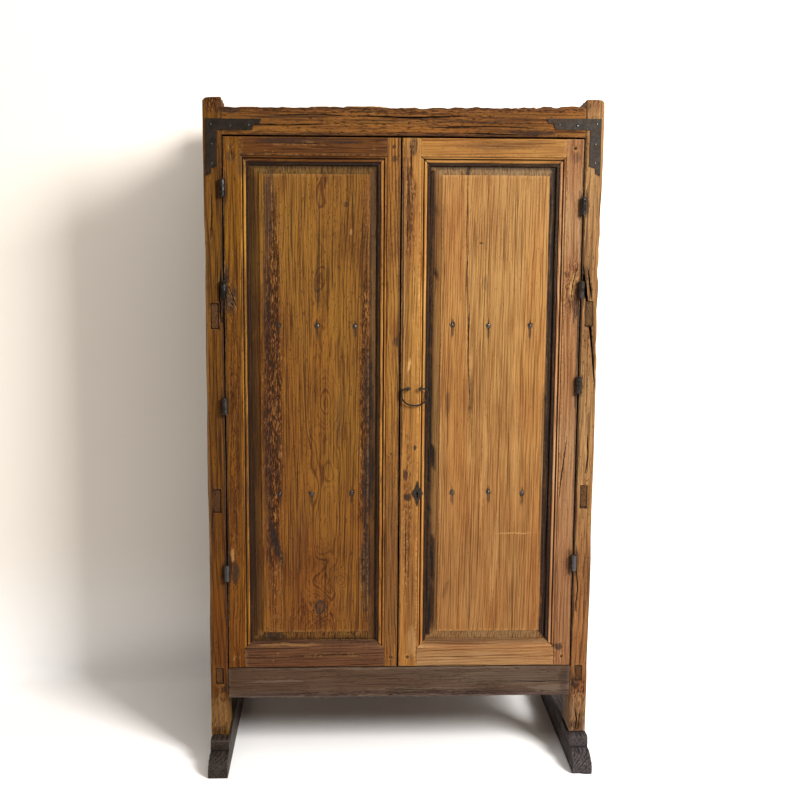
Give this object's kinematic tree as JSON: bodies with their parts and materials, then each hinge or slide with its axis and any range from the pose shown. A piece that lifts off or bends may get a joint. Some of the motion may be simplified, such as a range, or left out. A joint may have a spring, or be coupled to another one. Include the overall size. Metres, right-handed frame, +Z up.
{
  "type": "two-door cupboard",
  "caption": "Tall old pine jelly cupboard on sledge runners: panelled doors on olive hinges, corner irons, drop handle, lock, shelves inside.",
  "frame": {"origin": "on the floor, at the middle of the overall box", "axes": "+Z up, +X to the viewer's right, the doors face -Y"},
  "size_m": [1.02, 0.573, 1.772],
  "materials": {
    "post_pine": "old waxed honey pine, weathered and split",
    "carcass_pine": "old pine, dull",
    "left_door_pine": "waxed pine, red-brown, worn",
    "right_door_pine": "waxed pine, golden, worn",
    "inner_pine": "bare aged pine",
    "back_pine": "rough sawn bare pine",
    "grey_rail_wood": "grey-brown weathered wood",
    "dark_runner_wood": "blackened worn hardwood",
    "peg_wood": "dark end grain",
    "iron": "forged iron, dark, waxed"
  },
  "bodies": {
    "root": {"left_runner": "dark_runner_wood", "left_front_post": "post_pine", "left_back_post": "carcass_pine", "left_base_side_rail": "carcass_pine", "left_lower_side_rail": "carcass_pine", "left_upper_side_rail": "carcass_pine", "left_head_side_rail": "carcass_pine", "left_bottom_side_panel": "carcass_pine", "left_middle_side_panel": "carcass_pine", "left_top_side_panel": "carcass_pine", "left_corner_iron": "iron", "left_post_pintles": "iron", "right_runner": "dark_runner_wood", "right_front_post": "post_pine", "right_back_post": "carcass_pine", "right_base_side_rail": "carcass_pine", "right_lower_side_rail": "carcass_pine", "right_upper_side_rail": "carcass_pine", "right_head_side_rail": "carcass_pine", "right_bottom_side_panel": "carcass_pine", "right_middle_side_panel": "carcass_pine", "right_top_side_panel": "carcass_pine", "right_corner_iron": "iron", "right_post_pintles": "iron", "front_top_rail": "post_pine", "front_bottom_rail": "grey_rail_wood", "back_bottom_rail": "carcass_pine", "back_top_rail": "carcass_pine", "left_back_board": "back_pine", "middle_back_board": "back_pine", "right_back_board": "back_pine", "front_floor_board": "inner_pine", "back_floor_board": "inner_pine", "lower_shelf": "inner_pine", "upper_shelf": "inner_pine", "top_board": "inner_pine", "carcass_pegs": "peg_wood"},
    "left_door": {"left_door_hinge_stile": "left_door_pine", "left_door_meeting_stile": "left_door_pine", "left_door_top_rail": "left_door_pine", "left_door_bottom_rail": "left_door_pine", "left_door_panel": "left_door_pine", "left_door_lower_batten": "inner_pine", "left_door_upper_batten": "inner_pine", "left_door_pegs": "peg_wood", "left_door_knuckles": "iron"},
    "right_door": {"right_door_hinge_stile": "right_door_pine", "right_door_meeting_stile": "right_door_pine", "right_door_top_rail": "right_door_pine", "right_door_bottom_rail": "right_door_pine", "right_door_panel": "right_door_pine", "right_door_lower_batten": "inner_pine", "right_door_upper_batten": "inner_pine", "right_door_pegs": "peg_wood", "right_door_knuckles": "iron", "escutcheon": "iron", "bail_eyes": "iron", "lock_case": "iron"},
    "bail": {"bail_handle": "iron"},
    "lock_bolt": {"lock_bolt": "iron"}
  },
  "joints": [
    {"name": "left_door_hinge", "type": "hinge", "parent": "root", "child": "left_door", "pos_m": [-0.4615, -0.2018, 0.9], "axis": [0, 0, -1], "range_deg": [0, 170]},
    {"name": "right_door_hinge", "type": "hinge", "parent": "root", "child": "right_door", "pos_m": [0.4615, -0.2018, 0.9], "axis": [0, 0, 1], "range_deg": [0, 170]},
    {"name": "bail_hinge", "type": "hinge", "parent": "right_door", "child": "bail", "pos_m": [0.0313, -0.202, 1.0275], "axis": [-1, 0, 0], "range_deg": [-5, 150]},
    {"name": "lock_bolt_slide", "type": "slide", "parent": "right_door", "child": "lock_bolt", "axis": [-1, 0, 0], "range_m": [0, 0.016]}
  ]
}
